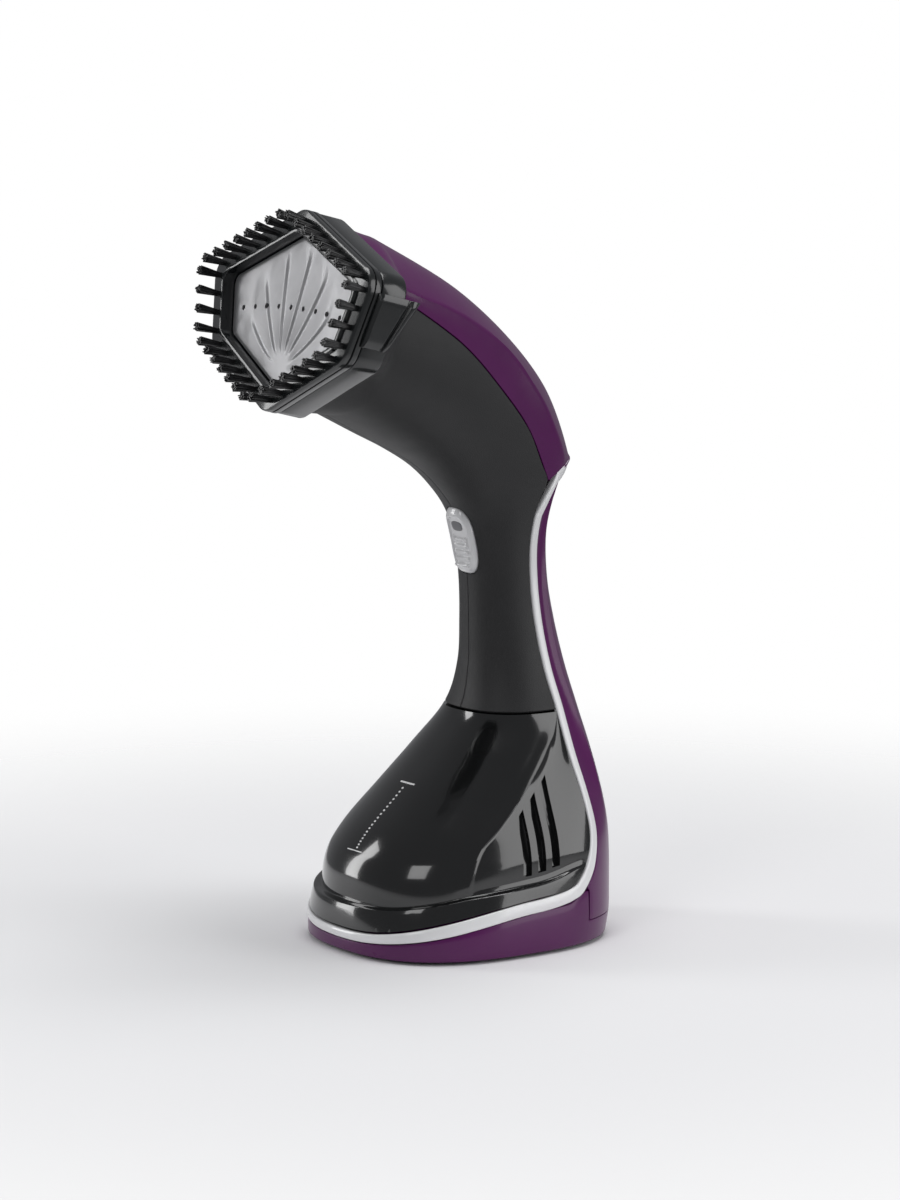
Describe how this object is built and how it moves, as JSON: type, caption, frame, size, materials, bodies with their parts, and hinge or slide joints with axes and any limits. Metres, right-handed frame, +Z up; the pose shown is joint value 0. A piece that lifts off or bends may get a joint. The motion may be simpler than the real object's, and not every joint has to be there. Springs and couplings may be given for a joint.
{
  "type": "garment steamer",
  "caption": "Handheld garment steamer with a tilted steam plate, clip-on bristle frame, slide-off water tank, press trigger and stand base.",
  "frame": {"origin": "centre of the footprint, on the plane of the undersides of the rubber feet", "axes": "+Z up from the table, the steam head, trigger and nose of the tank face -Y, +X is the right side seen from behind, mirror plane x = 0"},
  "size_m": [0.1056, 0.1536, 0.2809],
  "materials": {
    "soft_black": "soft touch",
    "purple_gloss": "gloss",
    "pale_gloss": "satin",
    "tank_smoke": "gloss, smoke tinted",
    "black_gloss": "gloss",
    "inner_plastic": "matt",
    "ivory_plastic": "matt",
    "aluminium": "satin",
    "steel": "brushed",
    "rubber": "matt",
    "silicone": "satin",
    "board": "satin",
    "coil": "satin",
    "wire": "satin",
    "bristle": "satin"
  },
  "bodies": {
    "body": {"left_grip_shell": "soft_black", "right_grip_shell": "soft_black", "top_cover": "purple_gloss", "rear_cover": "purple_gloss", "trim_band": "pale_gloss", "base_shell": "purple_gloss", "base_plate": "inner_plastic", "rubber_feet": "rubber", "chassis": "inner_plastic", "head_collar": "black_gloss", "sole_plate": "aluminium", "heater_block": "aluminium", "heating_element": "steel", "chamber_gasket": "silicone", "chamber_cover": "aluminium", "thermostat": "ivory_plastic", "thermal_fuse": "steel", "heater_screws": "steel", "steam_hose": "silicone", "suction_hose": "silicone", "pump_coil": "coil", "pump_barrel": "ivory_plastic", "pump_mounts": "rubber", "inlet_socket": "inner_plastic", "socket_seal": "rubber", "switch_carrier": "inner_plastic", "microswitch": "inner_plastic", "trigger_pin": "steel", "trigger_spring": "steel", "control_board": "board", "terminal_block": "ivory_plastic", "wire_loom": "wire", "cord_gland": "rubber", "shell_screws": "steel", "base_screws": "steel"},
    "tank": {"tank_shell": "tank_smoke", "tank_spout": "ivory_plastic", "spout_valve": "rubber", "intake_filter": "ivory_plastic"},
    "filler_plug": {"filler_plug": "rubber"},
    "trigger": {"trigger": "pale_gloss"},
    "switch_plunger": {"switch_plunger": "ivory_plastic"},
    "pump_piston": {"pump_piston": "steel"},
    "brush": {"brush_frame": "black_gloss", "bristle_tufts": "bristle"}
  },
  "joints": [
    {"name": "tank_slide", "type": "slide", "parent": "body", "child": "tank", "axis": [0, -1, 0], "range_m": [0, 0.095]},
    {"name": "plug_slide", "type": "slide", "parent": "tank", "child": "filler_plug", "axis": [0, 1, 0], "range_m": [0, 0.0055]},
    {"name": "trigger_hinge", "type": "hinge", "parent": "body", "child": "trigger", "pos_m": [0, 0.0095, 0.163], "axis": [1, 0, 0], "range_deg": [0, 5], "stiffness_Nm_per_rad": 0.5, "springref_deg": -1.15, "deforming": ["trigger_spring"]},
    {"name": "plunger_slide", "type": "slide", "parent": "body", "child": "switch_plunger", "axis": [0, 1, 0], "range_m": [0, 0.0011]},
    {"name": "piston_slide", "type": "slide", "parent": "body", "child": "pump_piston", "axis": [0, 0, 1], "range_m": [-0.002, 0.002], "stiffness_N_per_m": 300},
    {"name": "brush_slide", "type": "slide", "parent": "body", "child": "brush", "axis": [0, -0.9703, 0.2419], "range_m": [0, 0.025]}
  ],
  "couplings": [
    {"joint": "plunger_slide", "follows": "trigger_hinge", "m_per_rad": 0.0125}
  ]
}
